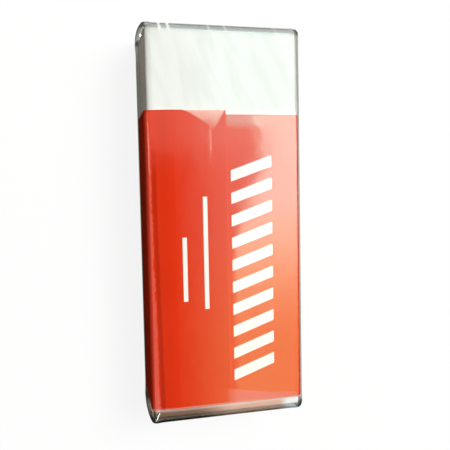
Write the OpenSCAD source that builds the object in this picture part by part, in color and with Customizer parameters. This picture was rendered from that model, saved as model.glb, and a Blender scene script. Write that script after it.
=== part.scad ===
// Boxed-shape rubber eraser in a printed card sleeve, sealed in clear film.
// X runs along the length with the bare end at -X, Y runs across the width
// and Z is up. The origin is the middle of the underside of the film.

/* [Eraser block] */
// Length of the rubber block
block_l = 58.5; // [45:0.5:75]
// Width of the rubber block
block_w = 23; // [18:0.5:32]
// Height of the rubber block
block_h = 10.7; // [8:0.1:16]
// Rounding of every edge and corner of the block
block_round = 0.4; // [0.3:0.1:1.2]

/* [Card sleeve] */
// Thickness of the card
card_t = 0.3; // [0.2:0.05:0.6]
// Play between the block and the card around it
card_play = 0.05; // [0.02:0.01:0.2]
// Length of block left bare, beside the inner end of the strip
bare_l = 12.95; // [6:0.05:22]
// How much less block the outer end of the strip leaves bare
bare_drift = 0.75; // [0:0.05:1.5]
// Length of block past the sleeve at the covered end
covered_inset = 1.35; // [0.8:0.05:5]
// How much further back the covered end's edge is at the outer end
covered_drift = 0.2; // [0:0.05:1]
// Place across the width of the outer end's free edge
seam_y = 0.2; // [-2:0.1:2]
// How far the outer end laps over the inner end
lap_w = 8; // [4:0.5:9]
// Width over which the outer end rises onto the inner end
lap_rise = 1.6; // [1:0.1:2]
// Thickness of the line of glue inside the lap
glue_t = 0.02; // [0.01:0.01:0.05]
// Distance of the glue from the edges of the lap
glue_inset = 1; // [0.5:0.1:1.5]

/* [Clear film] */
// Thickness of the film
film_t = 0.05; // [0.03:0.01:0.1]
// Gap between the film and the card
film_gap = 0.1; // [0.08:0.01:0.2]
// Gap between the film and each end of the block
end_gap = 0.1; // [0.05:0.01:0.3]
// Rounding of the film's upright corners, seen from above
film_corner = 1.1; // [0.9:0.1:1.2]
// Height of the two flaps folded over each end
flap_h = 6.2; // [5:0.1:7]
// Angle of a flap's slanted edges
flap_slant = 45; // [35:1:55]
// Width of the seam where the film laps under the block
film_lap = 6; // [3:0.5:10]

/* [Hidden] */

// Sides of a full round on the block and the film, and steps in each fold of the card
ROUND_FN = 32;
FOLD_STEPS = 10;
RISE_STEPS = 8;
// Small length by which parts of one piece run into each other
BITE = 0.005;

// Heights of the stack, from the film up
sleeve_z = film_t + film_gap;
block_z = sleeve_z + card_t + card_play;
block_top = block_z + block_h;
card_in_z = block_top + card_play;
card_lift = card_t + glue_t;
card_top = card_in_z + card_t;
lap_top = card_top + card_lift;

// The path that the card's inner face is wound on
fold_r = block_round + card_play;
path_half_w = block_w / 2 + card_play;
path_low = block_z - card_play;
inner_end_y = seam_y - lap_w;
// The rise ends just short of the inner end's cut edge
rise_end_y = inner_end_y - card_t;

// The film as it comes out, pulled tight round the sleeve
wrap_round = fold_r + card_t + film_gap + film_t;
wrap_w = 2 * (path_half_w + card_t + film_gap + film_t);
wrap_h = card_top + film_gap + film_t;
wrap_l = block_l + 2 * (end_gap + film_t);
corner_r = max(film_corner, wrap_round + BITE);

// A ball whose poles and sides lie exactly on its radius
module ball(r) {
    rotate_extrude($fn = ROUND_FN)
        intersection() {
            circle(r, $fn = ROUND_FN);
            translate([0, -r]) square([r, 2 * r]);
        }
}

// A slab with every edge and corner rounded to r, standing on z = 0
module rounded_slab(l, w, h, r) {
    hull()
        for (x = [-1, 1], y = [-1, 1], z = [r, h - r])
            translate([x * (l / 2 - r), y * (w / 2 - r), z]) ball(r);
}

module eraser_block() {
    color([0.95, 0.96, 0.94])
        translate([0, 0, block_z]) rounded_slab(block_l, block_w, block_h, block_round);
}

// One fold of the card about (y, z), from angle a to angle b: a list of [y, z, normal's angle]
function fold(y, z, a, b) = [
    for (i = [0 : FOLD_STEPS])
        let (t = a + (b - a) * i / FOLD_STEPS)
            [y + fold_r * cos(t), z + fold_r * sin(t), t]
];

// The rise of the outer end onto the inner end, an S that starts and ends level
function rise() = [
    for (i = [0 : RISE_STEPS])
        let (
            u = i / RISE_STEPS,
            slope = card_lift / lap_rise * 6 * u * (1 - u)
        )
            [
                rise_end_y - lap_rise * (1 - u),
                card_in_z + card_lift * u * u * (3 - 2 * u),
                90 + atan(slope)
            ]
];

// The whole winding, from the inner end to the right, round the block and over the inner end
winding = concat(
    [[inner_end_y, card_in_z, 90]],
    fold(path_half_w - fold_r, card_in_z - fold_r, 90, 0),
    fold(path_half_w - fold_r, path_low + fold_r, 0, -90),
    fold(-(path_half_w - fold_r), path_low + fold_r, -90, -180),
    fold(-(path_half_w - fold_r), card_in_z - fold_r, 180, 90),
    rise(),
    [[seam_y, card_in_z + card_lift, 90]]
);

// Length along the winding up to each of its points
function span(i) = norm([winding[i][0] - winding[i - 1][0], winding[i][1] - winding[i - 1][1]]);
function along(i) = i == 0 ? 0 : along(i - 1) + span(i);
winding_l = [for (i = [0 : len(winding) - 1]) along(i)];

// The strip's two long edges, which drift along the block as the strip winds round it
function bare_edge(t) = -block_l / 2 + bare_l - bare_drift * t;
function covered_edge(t) = block_l / 2 - covered_inset - covered_drift * t;

// The four corners of the card's section at one point of the winding
function section(i) =
    let (
        t = winding_l[i] / winding_l[len(winding) - 1],
        inner = [winding[i][0], winding[i][1]],
        outer = inner + card_t * [cos(winding[i][2]), sin(winding[i][2])]
    ) [
        [bare_edge(t), inner[0], inner[1]],
        [covered_edge(t), inner[0], inner[1]],
        [covered_edge(t), outer[0], outer[1]],
        [bare_edge(t), outer[0], outer[1]]
    ];

// One strip of card wound once round the block
module wound_strip() {
    last = len(winding) - 1;
    corners = [for (i = [0 : last]) each section(i)];
    walls = [
        for (i = [0 : last - 1], k = [0 : 3])
            let (a = 4 * i + k, b = 4 * i + (k + 1) % 4)
                each [[a, b, a + 4], [b, b + 4, a + 4]]
    ];
    polyhedron(corners, concat([[3, 2, 1, 0]], walls, [[for (k = [0 : 3]) 4 * last + k]]));
}

// The glue that holds the outer end down on the inner end, from the middle of one
// layer of card to the middle of the other
module glue_line() {
    x0 = bare_edge(0) + glue_inset;
    x1 = covered_edge(1) - glue_inset;
    y0 = inner_end_y + glue_inset;
    translate([x0, y0, card_in_z + card_t / 2])
        cube([x1 - x0, seam_y - glue_inset - y0, card_lift]);
}

module card_sleeve() {
    color([0.85, 0.24, 0.10]) {
        wound_strip();
        glue_line();
    }
}

// A disc of radius plan_r whose rim is rounded to r
module round_disc(r, plan_r) {
    rim = [
        for (a = [-90 : 360 / ROUND_FN : 90])
            [plan_r - r + r * cos(a), r * sin(a)]
    ];
    rotate_extrude($fn = ROUND_FN) polygon(concat([[0, -r]], rim, [[0, r]]));
}

// The film's surface, or a copy of it that lies t inside: tight round the sleeve
// and tented over the edges of the card's lap
module wrap_skin(t) {
    ridge_r = film_gap + film_t - t;
    hull() {
        for (x = [-1, 1], y = [-1, 1], z = [wrap_round, wrap_h - wrap_round])
            translate([x * (wrap_l / 2 - corner_r), y * (wrap_w / 2 - corner_r), z])
                round_disc(wrap_round - t, corner_r - t);
        for (y = [rise_end_y, seam_y])
            translate([bare_edge(1), y, lap_top])
                rotate([0, 90, 0])
                    cylinder(r = ridge_r, h = covered_edge(0) - bare_edge(1), $fn = ROUND_FN);
    }
}

// One flap of the end fold, a trapezoid that starts where the wrap's rounding ends
module flap(plies) {
    foot = wrap_w - 2 * corner_r;
    tip = foot - 2 * flap_h / tan(flap_slant);
    rotate([90, 0, 90])
        linear_extrude(plies * film_t + BITE)
            polygon([[-foot / 2, 0], [foot / 2, 0], [tip / 2, flap_h], [-tip / 2, flap_h]]);
}

// The end fold at +X: the upper flap comes down first and the lower one is folded over it
module end_fold() {
    translate([wrap_l / 2 - BITE, 0, wrap_h - wrap_round]) mirror([0, 0, 1]) flap(1);
    translate([wrap_l / 2 - BITE, 0, wrap_round]) flap(2);
}

// The inner ply of the film's long seam, flat on the inside of the underside
module long_seam() {
    seam_l = wrap_l - 2 * wrap_round;
    translate([-seam_l / 2, -film_lap / 2, film_t - BITE])
        cube([seam_l, film_lap, film_t + BITE]);
}

module clear_film() {
    color([0.9, 0.93, 0.95, 0.35]) {
        difference() {
            wrap_skin(0);
            wrap_skin(film_t);
        }
        end_fold();
        mirror([1, 0, 0]) end_fold();
        long_seam();
    }
}

eraser_block();
card_sleeve();
clear_film();
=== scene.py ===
import math

import bmesh
import bpy
from mathutils import Matrix, Vector


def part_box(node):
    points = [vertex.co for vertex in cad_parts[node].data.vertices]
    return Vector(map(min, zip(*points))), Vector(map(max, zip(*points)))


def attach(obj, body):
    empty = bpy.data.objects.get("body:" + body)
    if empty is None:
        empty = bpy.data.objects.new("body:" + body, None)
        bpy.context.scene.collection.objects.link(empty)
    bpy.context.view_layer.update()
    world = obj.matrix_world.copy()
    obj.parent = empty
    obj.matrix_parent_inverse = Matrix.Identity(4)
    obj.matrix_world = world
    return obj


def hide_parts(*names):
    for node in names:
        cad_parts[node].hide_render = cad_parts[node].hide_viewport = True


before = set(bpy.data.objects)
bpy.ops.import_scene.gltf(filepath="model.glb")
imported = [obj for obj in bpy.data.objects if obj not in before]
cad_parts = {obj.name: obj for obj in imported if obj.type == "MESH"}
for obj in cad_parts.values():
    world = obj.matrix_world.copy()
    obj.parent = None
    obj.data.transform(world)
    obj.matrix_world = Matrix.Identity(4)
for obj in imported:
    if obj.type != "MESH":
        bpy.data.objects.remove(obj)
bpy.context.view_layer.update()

MM = 0.001

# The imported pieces' boxes, in metres
BLOCK_LOW, BLOCK_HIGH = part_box("eraser_block")
SLEEVE_LOW, SLEEVE_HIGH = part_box("card_sleeve")
FILM_LOW, FILM_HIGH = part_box("clear_film")

# Sizes that the boxes don't give
BLOCK_ROUND = 0.4 * MM
CARD_T = 0.3 * MM
CARD_PLAY = 0.05 * MM
CARD_EDGE_W = 0.04 * MM
CARD_EDGE_ANGLE = math.radians(50)
BARE_DRIFT = 0.75 * MM
COVERED_DRIFT = 0.2 * MM
SEAM_Y = 0.2 * MM
LAP_W = 8 * MM
LAP_RISE = 2.7 * MM
FILM_T = 0.05 * MM
FILM_GAP = 0.1 * MM
END_GAP = 0.1 * MM
FILM_SEAM_W = 6 * MM
FLAP_H = 6.2 * MM

# How far the strip bulges towards the bare end, and where along the strip it does
BARE_BOW = 0.2 * MM
BOW_GROWS = (0.6, 0.8)
BOW_SHRINKS = (0.8, 1.0)

# The sleeve's outer face, worked out from the boxes
CARD_LIFT = SLEEVE_HIGH.z - (BLOCK_HIGH.z + CARD_PLAY + CARD_T)
CARD_TOP = SLEEVE_HIGH.z - CARD_LIFT
CARD_LOW = SLEEVE_LOW.z
CARD_HALF_W = SLEEVE_HIGH.y
CARD_ROUND = BLOCK_ROUND + CARD_PLAY + CARD_T
CARD_FLAT_Y = CARD_HALF_W - CARD_ROUND
INNER_END_Y = SEAM_Y - LAP_W
RISE_END_Y = INNER_END_Y - CARD_T

# The film's outer face
FILM_ROUND = CARD_ROUND + FILM_GAP + FILM_T
FILM_HALF_L = BLOCK_HIGH.x + END_GAP + FILM_T
FILM_TOP = CARD_TOP + FILM_GAP + FILM_T

# How far the gathered ends stand off beyond a tight wrap, and where they start to
BARE_SLACK = 0.1 * MM
COVERED_SLACK = 0.45 * MM
SLACK_FROM_X = 28.2 * MM
SLACK_FROM_Y = 10.2 * MM
SIDE_SLACK = 0.1 * MM
# How far the film's upright corners stand out, by the signs of x and y
EARS = {(-1, -1): 0.5 * MM, (-1, 1): 0.2 * MM, (1, -1): 0.45 * MM, (1, 1): 0.3 * MM}
EAR_FROM_X = 26.5 * MM
EAR_SIDEWAYS = 0.6
EAR_FULLNESS = 0.7

# The end flaps: the gap and the lift of the free edge, and its waves' height, rate and shift
FLAP_GAP = 0.02 * MM
FLAP_LIFT = 0.12 * MM
FLAP_WAVE = 0.05 * MM
FLAP_WAVES = 9
FLAP_WAVE_SHIFT = 2
# Gap between the two plies of the seam underneath
SEAM_GAP = 0.01 * MM

# Steps along the strip of card, in its folds, its flat runs and its rise
FOLD_STEPS = 8
RUN_STEPS = 6
RISE_STEPS = 8
STRIP_CUTS = 23

# Spacing of the meshes' cuts
BLOCK_CUT = 1.0 * MM
FILM_CUT = 0.35 * MM
FILM_UPRIGHT_CUT = 1.0 * MM

# The photograph's camera
CAMERA_AT = Vector((-5.48, -18.73, 92.30)) * MM
CAMERA_AIM = Vector((0.113, -0.259, 12.0)) * MM
CAMERA_ROLL = math.radians(1.14)
CAMERA_LENS = 44
SENSOR = 36
CLIP_NEAR = 5 * MM
CLIP_FAR = 10


def link(name, bm, materials):
    """Makes the bmesh an object with these materials, shaded smooth."""
    mesh = bpy.data.meshes.new(name)
    bm.normal_update()
    bm.to_mesh(mesh)
    bm.free()
    for material in materials:
        mesh.materials.append(material)
    mesh.shade_smooth()
    made = bpy.data.objects.new(name, mesh)
    bpy.context.scene.collection.objects.link(made)
    return made


# Node helpers

def new_material(name):
    material = bpy.data.materials.new(name)
    material.use_nodes = True
    material.node_tree.nodes.clear()
    return material, material.node_tree


def add(tree, kind, **settings):
    made = tree.nodes.new(kind)
    for key, value in settings.items():
        setattr(made, key, value)
    return made


def feed(tree, socket, value):
    """Links a socket to another one, or gives it a plain value."""
    if isinstance(value, bpy.types.NodeSocket):
        tree.links.new(value, socket)
    else:
        socket.default_value = value


def calc(tree, operation, *values):
    made = add(tree, "ShaderNodeMath", operation=operation)
    for socket, value in zip(made.inputs, values):
        feed(tree, socket, value)
    return made.outputs[0]


def product(tree, *factors):
    total = factors[0]
    for factor in factors[1:]:
        total = calc(tree, "MULTIPLY", total, factor)
    return total


def scaled(tree, value, factor, start):
    """The value times the factor, added to start."""
    return calc(tree, "MULTIPLY_ADD", value, factor, start)


def ease(tree, value, start, end):
    """0 up to start, 1 past end and a smooth step between them."""
    made = add(tree, "ShaderNodeMapRange", interpolation_type="SMOOTHSTEP")
    feed(tree, made.inputs["Value"], value)
    feed(tree, made.inputs["From Min"], start)
    feed(tree, made.inputs["From Max"], end)
    return made.outputs[0]


def within(tree, value, low, high, soft):
    """1 between low and high, falling to 0 over a soft border."""
    rise = ease(tree, value, low - soft, low + soft)
    fall = ease(tree, value, high + soft, high - soft)
    return calc(tree, "MULTIPLY", rise, fall)


# The Mix node's sockets A, B and Result for each kind of data
COLOUR_SOCKETS = (6, 7, 2)
VECTOR_SOCKETS = (4, 5, 1)


def blend(tree, kind, sockets, factor, first, second, way="MIX"):
    made = add(tree, "ShaderNodeMix", data_type=kind, blend_type=way)
    socket_a, socket_b, result = sockets
    feed(tree, made.inputs[0], factor)
    feed(tree, made.inputs[socket_a], first)
    feed(tree, made.inputs[socket_b], second)
    return made.outputs[result]


def blend_colours(tree, factor, first, second, way="MIX"):
    return blend(tree, "RGBA", COLOUR_SOCKETS, factor, first, second, way)


def blend_vectors(tree, factor, first, second):
    return blend(tree, "VECTOR", VECTOR_SOCKETS, factor, first, second)


def combine(tree, **parts):
    """A vector of the parts X, Y and Z, with 0 for a part that isn't given."""
    made = add(tree, "ShaderNodeCombineXYZ")
    for axis, value in parts.items():
        feed(tree, made.inputs[axis], value)
    return made.outputs[0]


def place_in_mm(tree):
    """The point on the object in millimetres, as a vector and as x, y and z."""
    where = add(tree, "ShaderNodeTexCoord")
    grown = add(tree, "ShaderNodeVectorMath", operation="SCALE")
    tree.links.new(where.outputs["Object"], grown.inputs[0])
    grown.inputs["Scale"].default_value = 1 / MM
    split = add(tree, "ShaderNodeSeparateXYZ")
    tree.links.new(grown.outputs[0], split.inputs[0])
    return grown.outputs[0], split.outputs


def grain(tree, place, scale, detail=2.0, roughness=0.5):
    """Noise between 0 and 1, with scale in features per millimetre."""
    made = add(tree, "ShaderNodeTexNoise")
    tree.links.new(place, made.inputs["Vector"])
    made.inputs["Scale"].default_value = scale
    made.inputs["Detail"].default_value = detail
    made.inputs["Roughness"].default_value = roughness
    return made.outputs["Fac"]


def bump(tree, height, strength, distance):
    made = add(tree, "ShaderNodeBump")
    made.inputs["Strength"].default_value = strength
    made.inputs["Distance"].default_value = distance
    tree.links.new(height, made.inputs["Height"])
    return made.outputs["Normal"]


def mix_shaders(tree, share, first, second):
    made = add(tree, "ShaderNodeMixShader")
    feed(tree, made.inputs[0], share)
    tree.links.new(first, made.inputs[1])
    tree.links.new(second, made.inputs[2])
    return made.outputs[0]


def show(tree, shader):
    """Makes the shader the material's surface."""
    output = add(tree, "ShaderNodeOutputMaterial")
    tree.links.new(shader, output.inputs["Surface"])


def principled(tree, colour, roughness, specular, normal):
    made = add(tree, "ShaderNodeBsdfPrincipled")
    feed(tree, made.inputs["Base Color"], colour)
    made.inputs["Roughness"].default_value = roughness
    made.inputs["Specular IOR Level"].default_value = specular
    tree.links.new(normal, made.inputs["Normal"])
    show(tree, made.outputs[0])


# Materials

# Depth of the fine grain of rubber and card
GRAIN_DEPTH = 0.02 * MM

RUBBER_DARKER = (0.85, 0.835, 0.82, 1)
RUBBER_LIGHTER = (0.87, 0.855, 0.84, 1)


def rubber_material():
    """White rubber with a faint mottling and a fine moulded grain."""
    material, tree = new_material("white_rubber")
    place, _ = place_in_mm(tree)
    mottle = grain(tree, place, scale=0.35, detail=3.0)
    colour = blend_colours(tree, mottle, RUBBER_DARKER, RUBBER_LIGHTER)
    fine = grain(tree, place, scale=6.0, detail=4.0, roughness=0.6)
    normal = bump(tree, fine, strength=0.25, distance=GRAIN_DEPTH)
    principled(tree, colour, roughness=0.65, specular=0.1, normal=normal)
    return material


# The printed row of slanted bars on the wide face, in millimetres
BARS_X = (-8.6, 25.4)
BARS_Y = (0.9, 7.3)
BAR_PITCH = 3.4
BAR_LEAN = 0.35
# Distance from the middle of a bar, as a share of the pitch, at which its edge fades
BAR_EDGE = (0.265, 0.235)
# The two thin printed lines: y of the middle, and x of the start and the end
RULES = ((-3.2, -4.2, 12.7), (-6.4, 1.8, 11.4))
RULE_HALF_W = 0.33
PRINT_SOFT = 0.04
ROW_SOFT = 0.01
# Height from which the print shows, so that the lower faces stay plain
PRINT_FROM_Z = (11.2, 11.4)

# Painted shade along the card's crease beside its -Y fold, and how far it drifts along the card
CREASE_Y = (-10.9, -10.3)
CREASE_SOFT = 0.2
CREASE_DRIFT = -0.015
CREASE_STRAIGHT_TO_X = -3.0
CREASE_STARTS = (-14.0, -6.0)
CREASE_SHADE_STRENGTH = 0.45
# The pale line of bare card along the covered end's cut edge, which steps back at the seam
CUT_LINE_X = (27.38, 27.58)
CUT_LINE_STEP = -0.17
PAST_SEAM_Y = (0.1, 0.3)
CUT_LINE_STRENGTH = 0.4

# Which peaks of the speckle are flecks, and how strong they are
FLECKS = (0.62, 0.78)
FLECK_STRENGTH = 0.12

PRINT_RED_DARKER = (0.735, 0.034, 0.007, 1)
PRINT_RED_LIGHTER = (0.79, 0.042, 0.010, 1)
PRINT_FLECK = (0.80, 0.20, 0.12, 1)
PRINT_WHITE = (0.93, 0.92, 0.88, 1)
CREASE_SHADE_COLOUR = (0.25, 0.012, 0.004, 1)
CUT_LINE_COLOUR = (0.80, 0.52, 0.44, 1)


def bars_mask(tree, axes):
    """The row of slanted bars printed on the face."""
    lean = scaled(tree, axes["Y"], BAR_LEAN, axes["X"])
    turn = calc(tree, "DIVIDE", calc(tree, "SUBTRACT", lean, BARS_X[0]), BAR_PITCH)
    phase = calc(tree, "ABSOLUTE", calc(tree, "SUBTRACT", calc(tree, "FRACT", turn), 0.5))
    bars = ease(tree, phase, *BAR_EDGE)
    row = within(tree, lean, *BARS_X, ROW_SOFT)
    band = within(tree, axes["Y"], *BARS_Y, PRINT_SOFT)
    return product(tree, bars, row, band)


def rule_mask(tree, axes, y_middle, x_start, x_end):
    """One thin printed line along the face."""
    low, high = y_middle - RULE_HALF_W, y_middle + RULE_HALF_W
    across = within(tree, axes["Y"], low, high, PRINT_SOFT)
    length = within(tree, axes["X"], x_start, x_end, PRINT_SOFT)
    return product(tree, across, length)


def marks_mask(tree, axes):
    """Everything that is printed white."""
    marks = bars_mask(tree, axes)
    for rule in RULES:
        marks = calc(tree, "MAXIMUM", marks, rule_mask(tree, axes, *rule))
    return product(tree, marks, ease(tree, axes["Z"], *PRINT_FROM_Z))


# Painted shade: a darker band in the print along the crease beside the -Y fold
def crease_shade_mask(tree, axes):
    run = calc(tree, "MAXIMUM", axes["X"], CREASE_STRAIGHT_TO_X)
    drifted = scaled(tree, run, CREASE_DRIFT, axes["Y"])
    crease = within(tree, drifted, *CREASE_Y, CREASE_SOFT)
    return product(tree, crease, ease(tree, axes["X"], *CREASE_STARTS), CREASE_SHADE_STRENGTH)


def cut_line_mask(tree, axes):
    past_seam = ease(tree, axes["Y"], *PAST_SEAM_Y)
    stepped = scaled(tree, past_seam, CUT_LINE_STEP, axes["X"])
    return product(tree, ease(tree, stepped, *CUT_LINE_X), CUT_LINE_STRENGTH)


def print_material():
    """Red-orange print on smooth card, with plain white bars on the wide face."""
    material, tree = new_material("printed_card")
    place, axes = place_in_mm(tree)
    cloud = grain(tree, place, scale=0.12)
    colour = blend_colours(tree, cloud, PRINT_RED_DARKER, PRINT_RED_LIGHTER)
    flecks = ease(tree, grain(tree, place, scale=9.0), *FLECKS)
    colour = blend_colours(tree, product(tree, flecks, FLECK_STRENGTH), colour, PRINT_FLECK)
    colour = blend_colours(tree, marks_mask(tree, axes), colour, PRINT_WHITE)
    colour = blend_colours(tree, cut_line_mask(tree, axes), colour, CUT_LINE_COLOUR)
    # Painted shade along the crease beside the -Y fold
    colour = blend_colours(tree, crease_shade_mask(tree, axes), colour, CREASE_SHADE_COLOUR)
    fibres = grain(tree, place, scale=3.0, detail=4.0, roughness=0.65)
    normal = bump(tree, fibres, strength=0.15, distance=GRAIN_DEPTH)
    principled(tree, colour, roughness=0.6, specular=0.0, normal=normal)
    return material


CORE_DARKER = (0.60, 0.50, 0.44, 1)
CORE_LIGHTER = (0.80, 0.74, 0.68, 1)


def card_core_material():
    """The pale board that shows at the card's cut edges and inner face."""
    material, tree = new_material("card_core")
    place, _ = place_in_mm(tree)
    fibres = grain(tree, place, scale=5.0, detail=4.0, roughness=0.7)
    colour = blend_colours(tree, fibres, CORE_DARKER, CORE_LIGHTER)
    normal = bump(tree, fibres, strength=0.4, distance=GRAIN_DEPTH)
    principled(tree, colour, roughness=0.85, specular=0.2, normal=normal)
    return material


# Share of the light that each face of the film mirrors, seen straight on and edge on
FILM_GLOSS = 0.042
FILM_GLOSS_EDGE_ON = 0.0015
# Further shares in the band inside the sleeve's bare edge, on the pucker, on the fold across
# the covered end's corner and at the spark
BAND_GLOSS = 0.065
PUCKER_GLOSS = 0.025
MITRE_GLOSS = 0.30
SPARK_GLOSS = 0.5
FILM_ROUGHNESS = 0.08
# What each face lets through, seen straight on and edge on; the edge-on colour is partly the film's own
# loss and partly painted shade along its outline
FILM_CLEAR = (0.985, 0.99, 0.985, 1)
FILM_EDGE_ON_SHADE = (0.78, 0.77, 0.735, 1)

# The place, in millimetres, of the spark at the film's corner, and its size
CORNER_SPARK = (-27.6, -11.95, 10.9)
SPARK_FADES = (0.38, 0.14)
# The ways that the film faces at that spark and on the fold at the other end
SPARK_WAY = (-0.11, -0.28, 0.95)
MITRE_WAY = (-0.48, -0.26, 0.84)

# Height from which the film counts as its wide face, in millimetres
WIDE_FACE_Z = (11.0, 11.2)

# How far the film tilts, on the pucker, in the band at the covered end, on the pucker's
# streak and on the facet beside the -Y fold
PUCKER_TILT = -0.21
COVERED_TILT = 0.07
STREAK_TILT = 0.085
FACET_TILT = -0.10

# The pucker, in millimetres: the tip of its curved side, how that side rises, and a point
# and the slope of its straight side
PUCKER_TIP_X = -17.0
PUCKER_TIP_Y = -6.6
PUCKER_RISE = 0.36
PUCKER_CURVE = 0.0475
PUCKER_SIDE_X = -14.05
PUCKER_SIDE_Y = -1.64
PUCKER_SIDE_SLOPE = -0.62

# How far the borders of the bare edge's band and of the fold's facet wander, in millimetres
BORDER_WANDER = 0.8
# How the band at the covered end leans and wanders
COVERED_BAND_LEAN = -0.155
COVERED_BAND_WANDER = 0.5
# Where the fold across the corner starts, and its slope
MITRE_FROM_X = 27.9
MITRE_LEAN = 0.38
# How the fold's facet drifts, and up to where it runs straight
FACET_DRIFT = -0.012
FACET_STRAIGHT_TO_X = -3.0
# Scales of the noise that the borders wander by
WANDER_SCALE = 0.45
NICKS_SCALE = 1.6
# The film's faint ripple
RIPPLE_SCALE = 0.35
RIPPLE_STRENGTH = 0.3
RIPPLE_DEPTH = 0.05 * MM


def pucker_mask(tree, axes):
    """1 on the three-cornered pucker beside the sleeve's step."""
    x, y = axes["X"], axes["Y"]
    run = calc(tree, "MAXIMUM", calc(tree, "ADD", y, -PUCKER_TIP_Y), 0.0)
    rise = product(tree, run, scaled(tree, run, PUCKER_CURVE, PUCKER_RISE))
    below = calc(tree, "SUBTRACT", rise, calc(tree, "ADD", x, -PUCKER_TIP_X))
    from_side = calc(tree, "ADD", x, -PUCKER_SIDE_X)
    beside = calc(tree, "SUBTRACT", scaled(tree, from_side, PUCKER_SIDE_SLOPE, PUCKER_SIDE_Y), y)
    past_curve = ease(tree, below, -0.12, 0.12)
    past_side = ease(tree, beside, -0.2, 0.2)
    on_card = ease(tree, x, -17.3, -16.9)
    return product(tree, past_curve, past_side, on_card)


def bare_band_mask(tree, axes, wander):
    """1 on the glossier band right of the step, just inside the sleeve's bare edge."""
    x, y = axes["X"], axes["Y"]
    wandering = scaled(tree, calc(tree, "SUBTRACT", wander, 0.5), BORDER_WANDER, x)
    on_card = ease(tree, x, -16.4, -16.2)
    near_edge = ease(tree, wandering, -13.9, -15.7)
    past_step = ease(tree, y, 0.1, 0.4)
    before_fold = ease(tree, y, 8.0, 4.0)
    return product(tree, on_card, near_edge, past_step, before_fold)


def covered_band_mask(tree, axes, wander):
    """1 on the band where the film starts to fall towards the covered end."""
    lean = scaled(tree, axes["Y"], COVERED_BAND_LEAN, axes["X"])
    past_start = ease(tree, scaled(tree, wander, COVERED_BAND_WANDER, lean), 25.5, 25.75)
    past_seam = ease(tree, axes["Y"], -0.8, 0.2)
    return product(tree, past_start, past_seam)


def streak_mask(tree, axes):
    """1 on the short streak that runs on from the pucker's tip."""
    x = axes["X"]
    across = within(tree, axes["Y"], -2.45, -1.95, 0.15)
    tail = ease(tree, x, -8.8, -11.2)
    head = ease(tree, x, -14.6, -14.0)
    return product(tree, across, tail, head)


def mitre_mask(tree, axes):
    """1 on the bright fold across the film's corner at the covered end."""
    from_start = calc(tree, "SUBTRACT", axes["X"], MITRE_FROM_X)
    lean = scaled(tree, from_start, MITRE_LEAN, axes["Y"])
    across = within(tree, lean, -10.80, -10.64, 0.07)
    length = within(tree, axes["X"], 28.0, 29.5, 0.15)
    return product(tree, across, length)


def spark_mask(tree, place):
    """1 on the small spark at the film's corner by the bare end."""
    away = add(tree, "ShaderNodeVectorMath", operation="DISTANCE")
    tree.links.new(place, away.inputs[0])
    away.inputs[1].default_value = CORNER_SPARK
    return ease(tree, away.outputs["Value"], *SPARK_FADES)


def fold_facet_mask(tree, axes, nicks):
    """1 on the narrow facet beside the -Y fold, with nicks in its inner border."""
    run = calc(tree, "MAXIMUM", calc(tree, "SUBTRACT", axes["X"], FACET_STRAIGHT_TO_X), 0.0)
    drifted = scaled(tree, run, FACET_DRIFT, axes["Y"])
    beside_fold = ease(tree, scaled(tree, nicks, BORDER_WANDER, drifted), -10.66, -10.78)
    on_card = ease(tree, axes["X"], -16, -12)
    return product(tree, beside_fold, on_card)


def film_tilt(tree, place, axes):
    """How far the film's wide face tilts where it is pulled flat in facets."""
    wander = grain(tree, place, WANDER_SCALE, detail=1.0)
    nicks = grain(tree, place, NICKS_SCALE, detail=1.0)
    wide_face = ease(tree, axes["Z"], *WIDE_FACE_Z)
    along = product(tree, pucker_mask(tree, axes), PUCKER_TILT)
    along = scaled(tree, covered_band_mask(tree, axes, wander), COVERED_TILT, along)
    across = product(tree, streak_mask(tree, axes), STREAK_TILT)
    across = scaled(tree, fold_facet_mask(tree, axes, nicks), FACET_TILT, across)
    return combine(tree, X=product(tree, along, wide_face), Y=product(tree, across, wide_face))


def film_normal(tree, place, axes):
    """The film's normal, with its facets, a slight ripple, the spark and the corner's fold."""
    ripple = grain(tree, place, RIPPLE_SCALE, detail=1.0)
    rippled = bump(tree, ripple, RIPPLE_STRENGTH, RIPPLE_DEPTH)
    total = add(tree, "ShaderNodeVectorMath", operation="ADD")
    tree.links.new(rippled, total.inputs[0])
    tree.links.new(film_tilt(tree, place, axes), total.inputs[1])
    way = blend_vectors(tree, spark_mask(tree, place), total.outputs[0], SPARK_WAY)
    way = blend_vectors(tree, mitre_mask(tree, axes), way, MITRE_WAY)
    unit = add(tree, "ShaderNodeVectorMath", operation="NORMALIZE")
    tree.links.new(way, unit.inputs[0])
    return unit.outputs[0]


# Painted glints across the bare end's rim, where its painted shade is left off: y from and to, in
# millimetres
RIM_GLINTS = ((-9.45, -9.00), (-8.17, -7.73), (-2.03, -1.87), (0.45, 0.65), (8.30, 8.40))
RIM_GLINT_SOFT = 0.18
RIM_X = -28.8
RIM_GLINT_LEAN = -0.15


def rim_glint_mask(tree, axes):
    """1 on the narrow painted glints across the bare end's rim, where its painted shade is left off."""
    lean = scaled(tree, calc(tree, "SUBTRACT", axes["X"], RIM_X), RIM_GLINT_LEAN, axes["Y"])
    glints = within(tree, lean, *RIM_GLINTS[0], RIM_GLINT_SOFT)
    for glint in RIM_GLINTS[1:]:
        glints = calc(tree, "MAXIMUM", glints, within(tree, lean, *glint, RIM_GLINT_SOFT))
    at_end = ease(tree, axes["X"], -28.0, -28.4)
    high_up = ease(tree, axes["Z"], 9.6, 10.4)
    return product(tree, glints, at_end, high_up)


# The painted shade streaks: their slope, and their scale across and along
SLANT_SHADE_LEAN = -0.35
SLANT_SHADE_ACROSS = 0.55
SLANT_SHADE_ALONG = 0.12


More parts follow.
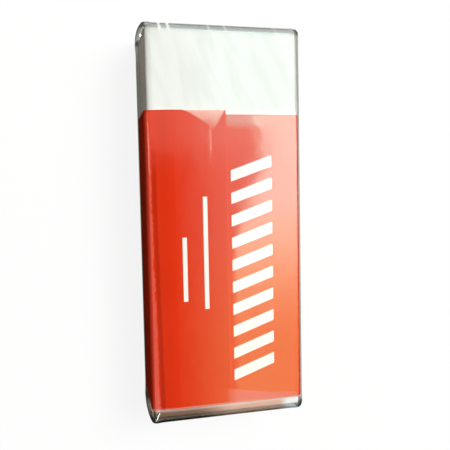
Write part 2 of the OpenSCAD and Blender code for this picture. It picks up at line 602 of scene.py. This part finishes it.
def slant_shade_mask(tree, axes):
    """Soft streaks of painted shade that run slantwise from the bare end, where the film isn't quite
    smooth and mirrors unevenly.
    """
    lean = scaled(tree, axes["X"], SLANT_SHADE_LEAN, axes["Y"])
    across = product(tree, lean, SLANT_SHADE_ACROSS)
    along = product(tree, axes["X"], SLANT_SHADE_ALONG)
    streaks = ease(tree, grain(tree, combine(tree, X=across, Y=along), scale=1.0), 0.42, 0.62)
    past_card = ease(tree, axes["X"], -16.6, -17.2)
    return product(tree, streaks, past_card)


# How much of the painted edge-on shade is left off where the film is painted lighter
PALE_STRENGTH = 0.85


def edge_on_tint_and_shade(tree, axes, edge_on, off_glints):
    """The film's tint, deeper where it is seen edge on: partly its own loss and partly painted shade
    along its outline, painted lighter at the bare end.
    """
    x, y, z = axes["X"], axes["Y"], axes["Z"]
    rim = product(tree, ease(tree, x, -29.1, -29.4), ease(tree, z, 8.0, 10.0))
    corner = product(tree, ease(tree, x, -24.5, -27.5), ease(tree, y, 0.0, -8.0))
    upper_side = product(tree, ease(tree, z, 4.5, 11.0), ease(tree, y, -10.0, -11.0),
                         ease(tree, x, -16.4, -17.0))
    # Painted light: the bare end's rim, corner and upper -Y side keep less of the edge-on shade
    pale = calc(tree, "MAXIMUM", calc(tree, "MAXIMUM", rim, corner), upper_side)
    depth = product(tree, edge_on, off_glints, scaled(tree, pale, -PALE_STRENGTH, 1.0))
    return blend_colours(tree, depth, FILM_CLEAR, FILM_EDGE_ON_SHADE)


def covered_end_shades(tree, axes, on_top):
    """Painted shade on the gathered film at the covered end, as masks and colours, lighter towards +Y
    where the light comes from.
    """
    x, y = axes["X"], axes["Y"]
    side = ease(tree, y, -6.0, 1.0)
    # Painted shade: the gathers and the rim at the covered end are darkened, more towards -Y
    gathers = product(tree, ease(tree, x, 27.6, 28.1), ease(tree, y, 9.6, 8.0), on_top)
    gathers_shade_colour = blend_colours(tree, side, (0.70, 0.61, 0.56, 1), (0.95, 0.84, 0.79, 1))
    rim = product(tree, ease(tree, x, 28.5, 29.2), on_top)
    rim_shade_colour = blend_colours(tree, side, (0.72, 0.80, 0.82, 1), (0.86, 0.90, 0.92, 1))
    return [(gathers, gathers_shade_colour), (rim, rim_shade_colour)]


def bare_end_shades(tree, axes, on_top, off_glints):
    """Painted shade on the film's rim, its -Y brink and its slantwise streaks at the bare end, as masks
    and colours.
    """
    x, y = axes["X"], axes["Y"]
    rim = product(tree, ease(tree, x, -28.3, -28.95), on_top, off_glints)
    brink = product(tree, ease(tree, y, -10.2, -11.6), ease(tree, x, -16.4, -17.0), on_top)
    slant_shade = product(tree, slant_shade_mask(tree, axes), on_top)
    # Painted shade: the rim, the brink and the streaks darken what the film lets through
    return [
        (rim, (0.83, 0.835, 0.835, 1)),
        (brink, (0.91, 0.90, 0.885, 1)),
        (slant_shade, (0.983, 0.983, 0.98, 1)),
    ]


def side_shades(tree, axes, on_top):
    """Painted shade on the film's foot, its lower -Y side, its +Y brow and its corners, as masks and
    colours.
    """
    x, y, z = axes["X"], axes["Y"], axes["Z"]
    out_x, out_y = calc(tree, "ABSOLUTE", x), calc(tree, "ABSOLUTE", y)
    foot = product(tree, ease(tree, z, 1.0, 0.5), ease(tree, out_y, 11.1, 11.4))
    shade = product(tree, ease(tree, z, 3.2, 0.8), ease(tree, y, -11.1, -11.4),
                    ease(tree, x, 5.0, 25.0))
    stronger = scaled(tree, ease(tree, x, -17.5, -19.0), 0.35, 0.65)
    brow = product(tree, within(tree, y, 11.5, 11.85, 0.1), on_top, stronger)
    fainter = product(tree, ease(tree, x, 0.0, -1.0), ease(tree, y, 0.0, 1.0))
    ear = product(tree, ease(tree, out_x, 28.4, 29.0), ease(tree, out_y, 11.1, 11.6),
                  scaled(tree, fainter, -0.6, 1.0))
    # Painted shade: a dark line at the foot, the lower -Y side, the +Y brow and the standing-off
    # corners
    return [
        (foot, (0.52, 0.52, 0.50, 1)),
        (shade, (0.72, 0.70, 0.68, 1)),
        (brow, (0.80, 0.81, 0.80, 1)),
        (ear, (0.58, 0.59, 0.58, 1)),
    ]


def film_tint_and_shade(tree, axes, edge_on):
    """What the film lets through: its slight tint, with painted shade where it is seen edge on, at its
    gathered ends, its foot, brow and corners.
    """
    # Painted glints: the rim's painted shade is left off in narrow bands
    off_glints = calc(tree, "SUBTRACT", 1.0, rim_glint_mask(tree, axes))
    on_top = ease(tree, axes["Z"], 9.8, 10.6)
    tint = edge_on_tint_and_shade(tree, axes, edge_on, off_glints)
    shades = covered_end_shades(tree, axes, on_top)
    shades += bare_end_shades(tree, axes, on_top, off_glints)
    shades += side_shades(tree, axes, on_top)
    # Each mask multiplies in a painted shade
    for mask, colour in shades:
        tint = blend_colours(tree, mask, tint, colour, way="MULTIPLY")
    return tint


def gloss_share(tree, place, axes, facing):
    """The share of the light that the film mirrors."""
    away = ease(tree, facing, 0.10, 0.28)
    share = scaled(tree, away, FILM_GLOSS_EDGE_ON - FILM_GLOSS, FILM_GLOSS)
    share = scaled(tree, mitre_mask(tree, axes), MITRE_GLOSS, share)
    share = scaled(tree, spark_mask(tree, place), SPARK_GLOSS, share)
    wander = grain(tree, place, WANDER_SCALE, detail=1.0)
    taut = product(tree, bare_band_mask(tree, axes, wander), BAND_GLOSS)
    taut = scaled(tree, pucker_mask(tree, axes), PUCKER_GLOSS, taut)
    return scaled(tree, taut, ease(tree, axes["Z"], *WIDE_FACE_Z), share)


def film_material():
    """Clear glossy film: it lets most light through and mirrors the rest."""
    material, tree = new_material("clear_film")
    place, axes = place_in_mm(tree)
    facing = add(tree, "ShaderNodeLayerWeight").outputs["Facing"]
    edge_on = ease(tree, facing, 0.25, 0.85)
    clear = add(tree, "ShaderNodeBsdfTransparent")
    # The see-through colour carries the film's slight tint and its painted shade and glints
    tree.links.new(film_tint_and_shade(tree, axes, edge_on), clear.inputs["Color"])
    gloss = add(tree, "ShaderNodeBsdfAnisotropic")
    gloss.inputs["Color"].default_value = (1, 1, 1, 1)
    gloss.inputs["Roughness"].default_value = FILM_ROUGHNESS
    tree.links.new(film_normal(tree, place, axes), gloss.inputs["Normal"])
    share = gloss_share(tree, place, axes, facing)
    show(tree, mix_shaders(tree, share, clear.outputs[0], gloss.outputs[0]))
    return material


# Shapes

def faces_of(made):
    """The faces round the vertices that an operator made."""
    return list({face for vert in made["verts"] for face in vert.link_faces})


def rounded_box(bm, low, high, rounding, segments):
    """A box with every edge and corner rounded."""
    made = bmesh.ops.create_cube(bm, size=1)
    bmesh.ops.scale(bm, vec=high - low, verts=made["verts"])
    bmesh.ops.translate(bm, vec=(low + high) / 2, verts=made["verts"])
    bmesh.ops.bevel(bm, geom=bm.edges[:], offset=rounding, offset_type="OFFSET", segments=segments,
                    profile=0.5, affect="EDGES", material=-1, clamp_overlap=False)


# Share of an edge's length that has to lie along an axis
ALIGNED = 0.999


def cut_edges(bm, axis, spacing):
    """Cuts each long edge that lies along an axis into steps of about the spacing."""
    def runs_along(edge):
        way = edge.verts[1].co - edge.verts[0].co
        return abs(way[axis]) > ALIGNED * way.length and way.length > 2 * spacing

    edges = [edge for edge in bm.edges if runs_along(edge)]
    cuts = round(edges[0].calc_length() / spacing) - 1
    bmesh.ops.subdivide_edges(bm, edges=edges, cuts=cuts, use_grid_fill=True)


def smooth(value, start, end):
    """0 up to start, 1 past end and a smooth step between them."""
    t = min(1.0, max(0.0, (value - start) / (end - start)))
    return t * t * (3 - 2 * t)


def rubber_block(material):
    bm = bmesh.new()
    rounded_box(bm, BLOCK_LOW, BLOCK_HIGH, BLOCK_ROUND, segments=8)
    for axis in range(3):
        cut_edges(bm, axis, BLOCK_CUT)
    block = link("rubber_block", bm, [material])
    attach(block, "root")
    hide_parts("eraser_block")


def new_front(bm, front):
    """Extrudes a chain of edges and returns the new chain and its vertices."""
    made = bmesh.ops.extrude_edge_only(bm, edges=front)["geom"]
    verts = [part for part in made if isinstance(part, bmesh.types.BMVert)]
    fresh = set(verts)
    edges = [part for part in made
             if isinstance(part, bmesh.types.BMEdge) and set(part.verts) <= fresh]
    return edges, verts


def straight_run(dy, dz, count=RUN_STEPS):
    """The moves along a flat part of the winding."""
    step = Vector((0, dy, dz)) / count
    return [(Matrix.Translation(step), step.length)] * count


def card_fold(y, z):
    """The moves round a fold about the line through y and z."""
    centre = Vector((0, y, z))
    angle = -math.pi / 2 / FOLD_STEPS
    turn = (Matrix.Translation(centre) @ Matrix.Rotation(angle, 4, "X")
            @ Matrix.Translation(-centre))
    return [(turn, abs(angle) * (CARD_ROUND - CARD_T))] * FOLD_STEPS


def card_rise():
    """The moves that lift the outer end onto the inner end, an S that starts and ends level."""
    moves = []
    for i in range(RISE_STEPS):
        lift = CARD_LIFT * (smooth(i + 1, 0, RISE_STEPS) - smooth(i, 0, RISE_STEPS))
        step = Vector((0, LAP_RISE / RISE_STEPS, lift))
        moves.append((Matrix.Translation(step), step.length))
    return moves


def winding_steps():
    """The moves that wind the card once round the block, each with the length of card it takes."""
    low_z, high_z = CARD_LOW + CARD_ROUND, CARD_TOP - CARD_ROUND
    moves = straight_run(CARD_FLAT_Y - INNER_END_Y, 0)
    moves += card_fold(CARD_FLAT_Y, high_z)
    moves += straight_run(0, low_z - high_z)
    moves += card_fold(CARD_FLAT_Y, low_z)
    moves += straight_run(-2 * CARD_FLAT_Y, 0)
    moves += card_fold(-CARD_FLAT_Y, low_z)
    moves += straight_run(0, high_z - low_z)
    moves += card_fold(-CARD_FLAT_Y, high_z)
    moves += straight_run(RISE_END_Y - LAP_RISE + CARD_FLAT_Y, 0, 1)
    moves += card_rise()
    moves += straight_run(SEAM_Y - RISE_END_Y, 0)
    return moves


def drift_along(verts, part):
    """Moves the strip's edges, which drift along the block by the share of the winding done."""
    middle = (SLEEVE_LOW.x + SLEEVE_HIGH.x) / 2
    half = (SLEEVE_HIGH.x - SLEEVE_LOW.x) / 2
    bow = BARE_BOW * smooth(part, *BOW_GROWS) * (1 - smooth(part, *BOW_SHRINKS) / 2)
    bare_move = BARE_DRIFT * part + bow
    covered_move = COVERED_DRIFT * part
    for vert in verts:
        share = (vert.co.x - middle) / half
        vert.co.x -= (bare_move if share < 0 else covered_move) * abs(share)


def thicken_card(strip):
    """Gives the strip its thickness and eases its cut edges."""
    wall = strip.modifiers.new("card_thickness", "SOLIDIFY")
    wall.thickness = CARD_T
    wall.offset = -1
    wall.material_offset = 1
    wall.material_offset_rim = 1
    edge = strip.modifiers.new("cut_edge", "BEVEL")
    edge.width = CARD_EDGE_W
    edge.segments = 2
    edge.limit_method = "ANGLE"
    edge.angle_limit = CARD_EDGE_ANGLE
    edge.harden_normals = True


def card_strip(materials):
    """One strip of card, wound round the block with its outer end lapped over its inner end."""
    moves = winding_steps()
    total = sum(length for _, length in moves)
    bm = bmesh.new()
    start = bm.verts.new((SLEEVE_LOW.x + BARE_DRIFT, INNER_END_Y, CARD_TOP))
    end = bm.verts.new((SLEEVE_HIGH.x, INNER_END_Y, CARD_TOP))
    bm.edges.new((start, end))
    bmesh.ops.subdivide_edges(bm, edges=bm.edges[:], cuts=STRIP_CUTS)
    front = bm.edges[:]
    for matrix, length in moves:
        front, verts = new_front(bm, front)
        bmesh.ops.transform(bm, matrix=matrix, verts=verts)
        drift_along(verts, length / total)
    bmesh.ops.recalc_face_normals(bm, faces=bm.faces[:])
    top_face = max(bm.faces, key=lambda face: face.calc_center_median().z)
    if top_face.normal.z < 0:
        bmesh.ops.reverse_faces(bm, faces=bm.faces[:])
    strip = link("card_strip", bm, materials)
    thicken_card(strip)
    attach(strip, "root")
    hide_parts("card_sleeve")


def tent(y):
    """Height of the film over the card's lap, tight from the left fold to the right one."""
    left, right = -CARD_FLAT_Y, CARD_FLAT_Y
    if y < RISE_END_Y:
        return CARD_LIFT * max(0.0, (y - left) / (RISE_END_Y - left))
    if y < SEAM_Y:
        return CARD_LIFT
    # The film bends over the strip's free edge in the first part of its fall
    bend = 0.15
    share = min(1.0, (y - SEAM_Y) / (right - SEAM_Y))
    share = share * share / (2 * bend) if share < bend else share - bend / 2
    return CARD_LIFT * (1 - share / (1 - bend / 2))


def on_sleeve(x):
    """1 over the sleeve, falling straight to 0 where the film meets the ends of the block."""
    if x < SLEEVE_LOW.x:
        reach = BLOCK_LOW.x + BLOCK_ROUND
        return max(0.0, (x - reach) / (SLEEVE_LOW.x - reach))
    if x > SLEEVE_HIGH.x:
        return max(0.0, (BLOCK_HIGH.x - x) / (BLOCK_HIGH.x - SLEEVE_HIGH.x))
    return 1.0


def slacken(co):
    """Moves a point of the tight film to where the loosely gathered ends have it."""
    x, y, z = co
    slack = BARE_SLACK if x < 0 else COVERED_SLACK
    end = smooth(abs(x), SLACK_FROM_X, FILM_HALF_L)
    across = smooth(abs(y), SLACK_FROM_Y, FILM_HIGH.y)
    height = math.sin(math.pi * min(1.0, max(0.0, z / FILM_TOP))) ** EAR_FULLNESS
    ear = EARS[(1 if x > 0 else -1, 1 if y > 0 else -1)]
    ear *= across * height * smooth(abs(x), EAR_FROM_X, FILM_HALF_L)
    co.x += math.copysign(slack * end + ear, x)
    co.y += math.copysign(EAR_SIDEWAYS * ear, y)
    if y > 0:
        co.y += SIDE_SLACK * across


def film_skin(material):
    """The film pulled tight round the sleeve and the block."""
    bm = bmesh.new()
    low = Vector((-FILM_HALF_L, FILM_LOW.y, FILM_LOW.z))
    high = Vector((FILM_HALF_L, FILM_HIGH.y, FILM_TOP))
    rounded_box(bm, low, high, FILM_ROUND, segments=6)
    cut_edges(bm, 0, FILM_CUT)
    cut_edges(bm, 1, FILM_CUT)
    cut_edges(bm, 2, FILM_UPRIGHT_CUT)
    step = FILM_TOP - (BLOCK_HIGH.z + FILM_GAP + FILM_T)
    for vert in bm.verts:
        x, y, z = vert.co
        share = smooth(z, FILM_TOP - FILM_ROUND, FILM_TOP)
        held = on_sleeve(x)
        vert.co.z += share * (held * tent(y) - (1 - held) * step)
        slacken(vert.co)
    finish_film(link("clear_film_wrap", bm, [material]))


def finish_film(piece):
    """Gives a sheet of film its thickness, inwards, hangs it on the root body and hides the imported
    film.
    """
    wall = piece.modifiers.new("film_thickness", "SOLIDIFY")
    wall.thickness = FILM_T
    wall.offset = -1
    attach(piece, "root")
    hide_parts("clear_film")


def upper_reach(across):
    """How far down the upper flap shows above and beside the lower one, from -0.5 to 0.5 across."""
    half = FILM_HIGH.y - FILM_ROUND
    above = FILM_TOP - 2 * FILM_ROUND - FLAP_H
    beside = FILM_TOP / 2 - FILM_ROUND
    corner = (half - FLAP_H) / (half - above)
    share = max(0.0, (2 * abs(across) - corner) / (1 - corner))
    return above + share * (beside - above)


def end_flap(bm, side, upper, plies):
    """One flap of the end fold: a trapezoid from the wrap's rounding, its free edge lifted a little."""
    made = bmesh.ops.create_grid(bm, x_segments=28, y_segments=8, size=0.5)
    foot = 2 * (FILM_HIGH.y - FILM_ROUND)
    foot_z = FILM_TOP - FILM_ROUND if upper else FILM_ROUND
    way = -1 if upper else 1
    for vert in made["verts"]:
        across, height = vert.co.x, vert.co.y + 0.5
        reach = upper_reach(across) if upper else FLAP_H
        width = foot - 2 * reach * height
        lift = FLAP_GAP * plies + FLAP_LIFT * height ** 3
        wave = FLAP_WAVE * height * math.sin(FLAP_WAVES * across + FLAP_WAVE_SHIFT * plies)
        x = side * (FILM_HALF_L + FILM_T * plies + lift + wave)
        vert.co = Vector((x, across * width, foot_z + way * reach * height))
        slacken(vert.co)
    faces = faces_of(made)
    bmesh.ops.recalc_face_normals(bm, faces=faces)
    if faces[0].normal.x * side < 0:
        bmesh.ops.reverse_faces(bm, faces=faces)


def long_seam(bm):
    """The inner ply of the film's seam, along the underside."""
    made = bmesh.ops.create_grid(bm, x_segments=60, y_segments=6, size=0.5)
    length = 2 * (FILM_HALF_L - FILM_ROUND)
    bmesh.ops.scale(bm, vec=(length, FILM_SEAM_W, 1), verts=made["verts"])
    bmesh.ops.translate(bm, vec=(0, 0, FILM_T + SEAM_GAP), verts=made["verts"])
    bmesh.ops.reverse_faces(bm, faces=faces_of(made))


def film_folds(material):
    """The flaps folded over both ends, and the inner ply of the long seam underneath."""
    bm = bmesh.new()
    for side in (-1, 1):
        end_flap(bm, side, upper=True, plies=1)
        end_flap(bm, side, upper=False, plies=2)
    long_seam(bm)
    finish_film(link("clear_film_folds", bm, [material]))


# Studio

FLOOR_SEEN = (0.85, 0.85, 0.85, 1)
FLOOR_GLOW_SHARE = 0.88
# What the floor gives back to the object, so that the sides stay as dim as in the photograph
FLOOR_BOUNCE = (0.32, 0.27, 0.23, 1)
FLOOR_DROP = 0.02 * MM
FLOOR_HALF_SIZE = 2


def diffuse(tree, colour):
    made = add(tree, "ShaderNodeBsdfDiffuse")
    made.inputs["Color"].default_value = colour
    return made.outputs[0]


def floor():
    """A pale floor that looks near white and lights the object from below only a little."""
    bm = bmesh.new()
    bmesh.ops.create_grid(bm, x_segments=1, y_segments=1, size=FLOOR_HALF_SIZE)
    material, tree = new_material("studio_floor")
    path = add(tree, "ShaderNodeLightPath").outputs
    seen = calc(tree, "MAXIMUM", path["Is Camera Ray"], path["Is Glossy Ray"])
    seen = calc(tree, "MAXIMUM", seen, path["Is Transmission Ray"])
    glow = add(tree, "ShaderNodeEmission").outputs[0]
    white = mix_shaders(tree, FLOOR_GLOW_SHARE, diffuse(tree, FLOOR_SEEN), glow)
    show(tree, mix_shaders(tree, seen, diffuse(tree, FLOOR_BOUNCE), white))
    made = link("studio_floor", bm, [material])
    made.location.z = -FLOOR_DROP


# The card overhead that the film mirrors
WINDOW_Z = 300 * MM
WINDOW_Y = 100 * MM
WINDOW_HALF_SIZE = 400 * MM
WINDOW_COOL = (0.50, 1, 0.87, 1)
WINDOW_WARM = (0.9, 1, 0.40, 1)
LAMP_WHITE = (1, 1, 1, 1)
LAMP_LEVEL = 8.0


def patch(tree, axes, x_range, y_range, x_soft=10, y_soft=10):
    """1 on a soft-edged rectangle of the card, in millimetres."""
    along = within(tree, axes["X"], *x_range, x_soft)
    across = within(tree, axes["Y"], *y_range, y_soft)
    return product(tree, along, across)


def pane_level(tree, axes):
    """The window's main pane, brighter towards the bare end and cut off slantwise."""
    x, y = axes["X"], axes["Y"]
    border = scaled(tree, calc(tree, "MAXIMUM", x, -24.0), 0.44, y)
    slanted_side = ease(tree, border, 94, 114)
    near_side = ease(tree, y, 76, 90)
    far_side = ease(tree, y, 480, 420)
    bare_side = ease(tree, x, -80, -60)
    brightness = scaled(tree, ease(tree, x, 110, -10), 4.2, 1.0)
    return product(tree, slanted_side, near_side, far_side, bare_side, brightness)


def patches_level(tree, axes):
    """The patch that the pucker mirrors, and the one that the covered end mirrors."""
    brightness = scaled(tree, ease(tree, axes["Y"], 60, 110), 1.6, 3.2)
    for_pucker = patch(tree, axes, (-240, -190), (0, 150), y_soft=20)
    for_covered_end = patch(tree, axes, (160, 300), (60, 150))
    return scaled(tree, for_covered_end, 0.6, product(tree, for_pucker, brightness))


def strip_level(tree, axes):
    """The dim light beyond the window, with the narrow bright spots that the fold mirrors."""
    x, y = axes["X"], axes["Y"]
    bright = calc(tree, "MAXIMUM", within(tree, x, -55, -46, 2), within(tree, x, -41, -36, 1.5))
    weak = within(tree, x, -31, -20, 3)
    spots = scaled(tree, weak, 1.8, product(tree, bright, 3.5))
    spots = product(tree, spots, ease(tree, y, -165, -185))
    past_middle = ease(tree, x, 20, 90)
    level = calc(tree, "ADD", scaled(tree, past_middle, -0.05, 0.8), spots)
    level = scaled(tree, ease(tree, x, 134, 144), 0.3, level)
    border = scaled(tree, past_middle, 36.0, -88.0)
    near_side = ease(tree, calc(tree, "SUBTRACT", y, border), 8, -8)
    bare_side = ease(tree, x, -80, -62)
    return product(tree, level, near_side, bare_side)


def skirt_level(tree, axes):
    """The soft light between the window and the strip."""
    x, y = axes["X"], axes["Y"]
    by_window = product(tree, ease(tree, y, 25, 75), 1.1)
    by_bare_end = product(tree, ease(tree, x, -15, -45), ease(tree, y, -75, -40))
    covered_side = ease(tree, x, 340, 200)
    return product(tree, scaled(tree, by_bare_end, 0.6, by_window), covered_side)


def window_light(tree, axes):
    """The colour and the strength of the card's glow."""
    x, y = axes["X"], axes["Y"]
    warm = product(tree, ease(tree, x, -20, 120), ease(tree, x, 220, 150), ease(tree, y, -30, 10))
    colour = blend_colours(tree, warm, WINDOW_COOL, WINDOW_WARM)
    level = calc(tree, "ADD", pane_level(tree, axes), patches_level(tree, axes))
    level = calc(tree, "ADD", level, strip_level(tree, axes))
    level = calc(tree, "ADD", level, skirt_level(tree, axes))
    lamp = patch(tree, axes, (-240, -160), (-225, -135))
    return blend_colours(tree, lamp, colour, LAMP_WHITE), scaled(tree, lamp, LAMP_LEVEL, level)


def window_card():
    """A large soft window overhead that only the gloss of the film sees."""
    bm = bmesh.new()
    bmesh.ops.create_grid(bm, x_segments=1, y_segments=1, size=WINDOW_HALF_SIZE)
    bmesh.ops.translate(bm, vec=(0, WINDOW_Y, WINDOW_Z), verts=bm.verts[:])
    material, tree = new_material("studio_window")
    _, axes = place_in_mm(tree)
    colour, level = window_light(tree, axes)
    glow = add(tree, "ShaderNodeEmission")
    tree.links.new(colour, glow.inputs["Color"])
    tree.links.new(level, glow.inputs["Strength"])
    show(tree, glow.outputs[0])
    made = link("studio_window", bm, [material])
    made.visible_camera = False
    made.visible_diffuse = False
    made.visible_shadow = False


KEY_WAY = Vector((-0.4, 0.5, 1.0)).normalized()
KEY_DISTANCE = 0.7
KEY_SIZE = 0.4
KEY_POWER = 6.5
KEY_COLOUR = (1, 0.99, 0.97)
WORLD_STRENGTH = 0.18


def key_light():
    """A square light that faces the object and isn't mirrored in it."""
    data = bpy.data.lights.new("key_light", "AREA")
    data.shape = "SQUARE"
    data.size = KEY_SIZE
    data.energy = KEY_POWER
    data.color = KEY_COLOUR
    lamp = bpy.data.objects.new("key_light", data)
    bpy.context.scene.collection.objects.link(lamp)
    lamp.location = KEY_WAY * KEY_DISTANCE
    lamp.rotation_mode = "QUATERNION"
    lamp.rotation_quaternion = KEY_WAY.to_track_quat("Z", "Y")
    lamp.visible_glossy = False


def world_light():
    world = bpy.data.worlds.new("studio_world")
    world.use_nodes = True
    background = world.node_tree.nodes["Background"]
    background.inputs["Color"].default_value = (1, 1, 1, 1)
    background.inputs["Strength"].default_value = WORLD_STRENGTH
    bpy.context.scene.world = world


def camera():
    back = (CAMERA_AT - CAMERA_AIM).normalized()
    right = Vector((-1, 0, 0)).cross(back).normalized()
    up = back.cross(right)
    turned_up = up * math.cos(CAMERA_ROLL) + right * math.sin(CAMERA_ROLL)
    turned_right = right * math.cos(CAMERA_ROLL) - up * math.sin(CAMERA_ROLL)
    data = bpy.data.cameras.new("photo_camera")
    data.lens = CAMERA_LENS
    data.sensor_width = SENSOR
    data.clip_start = CLIP_NEAR
    data.clip_end = CLIP_FAR
    made = bpy.data.objects.new("photo_camera", data)
    bpy.context.scene.collection.objects.link(made)
    turn = Matrix((turned_right, turned_up, back)).transposed()
    made.matrix_world = Matrix.Translation(CAMERA_AT) @ turn.to_4x4()
    bpy.context.scene.camera = made


def build():
    camera()
    key_light()
    world_light()
    floor()
    window_card()
    rubber_block(rubber_material())
    card_strip([print_material(), card_core_material()])
    film = film_material()
    film_skin(film)
    film_folds(film)


build()
bpy.context.scene.view_settings.view_transform = "Standard"
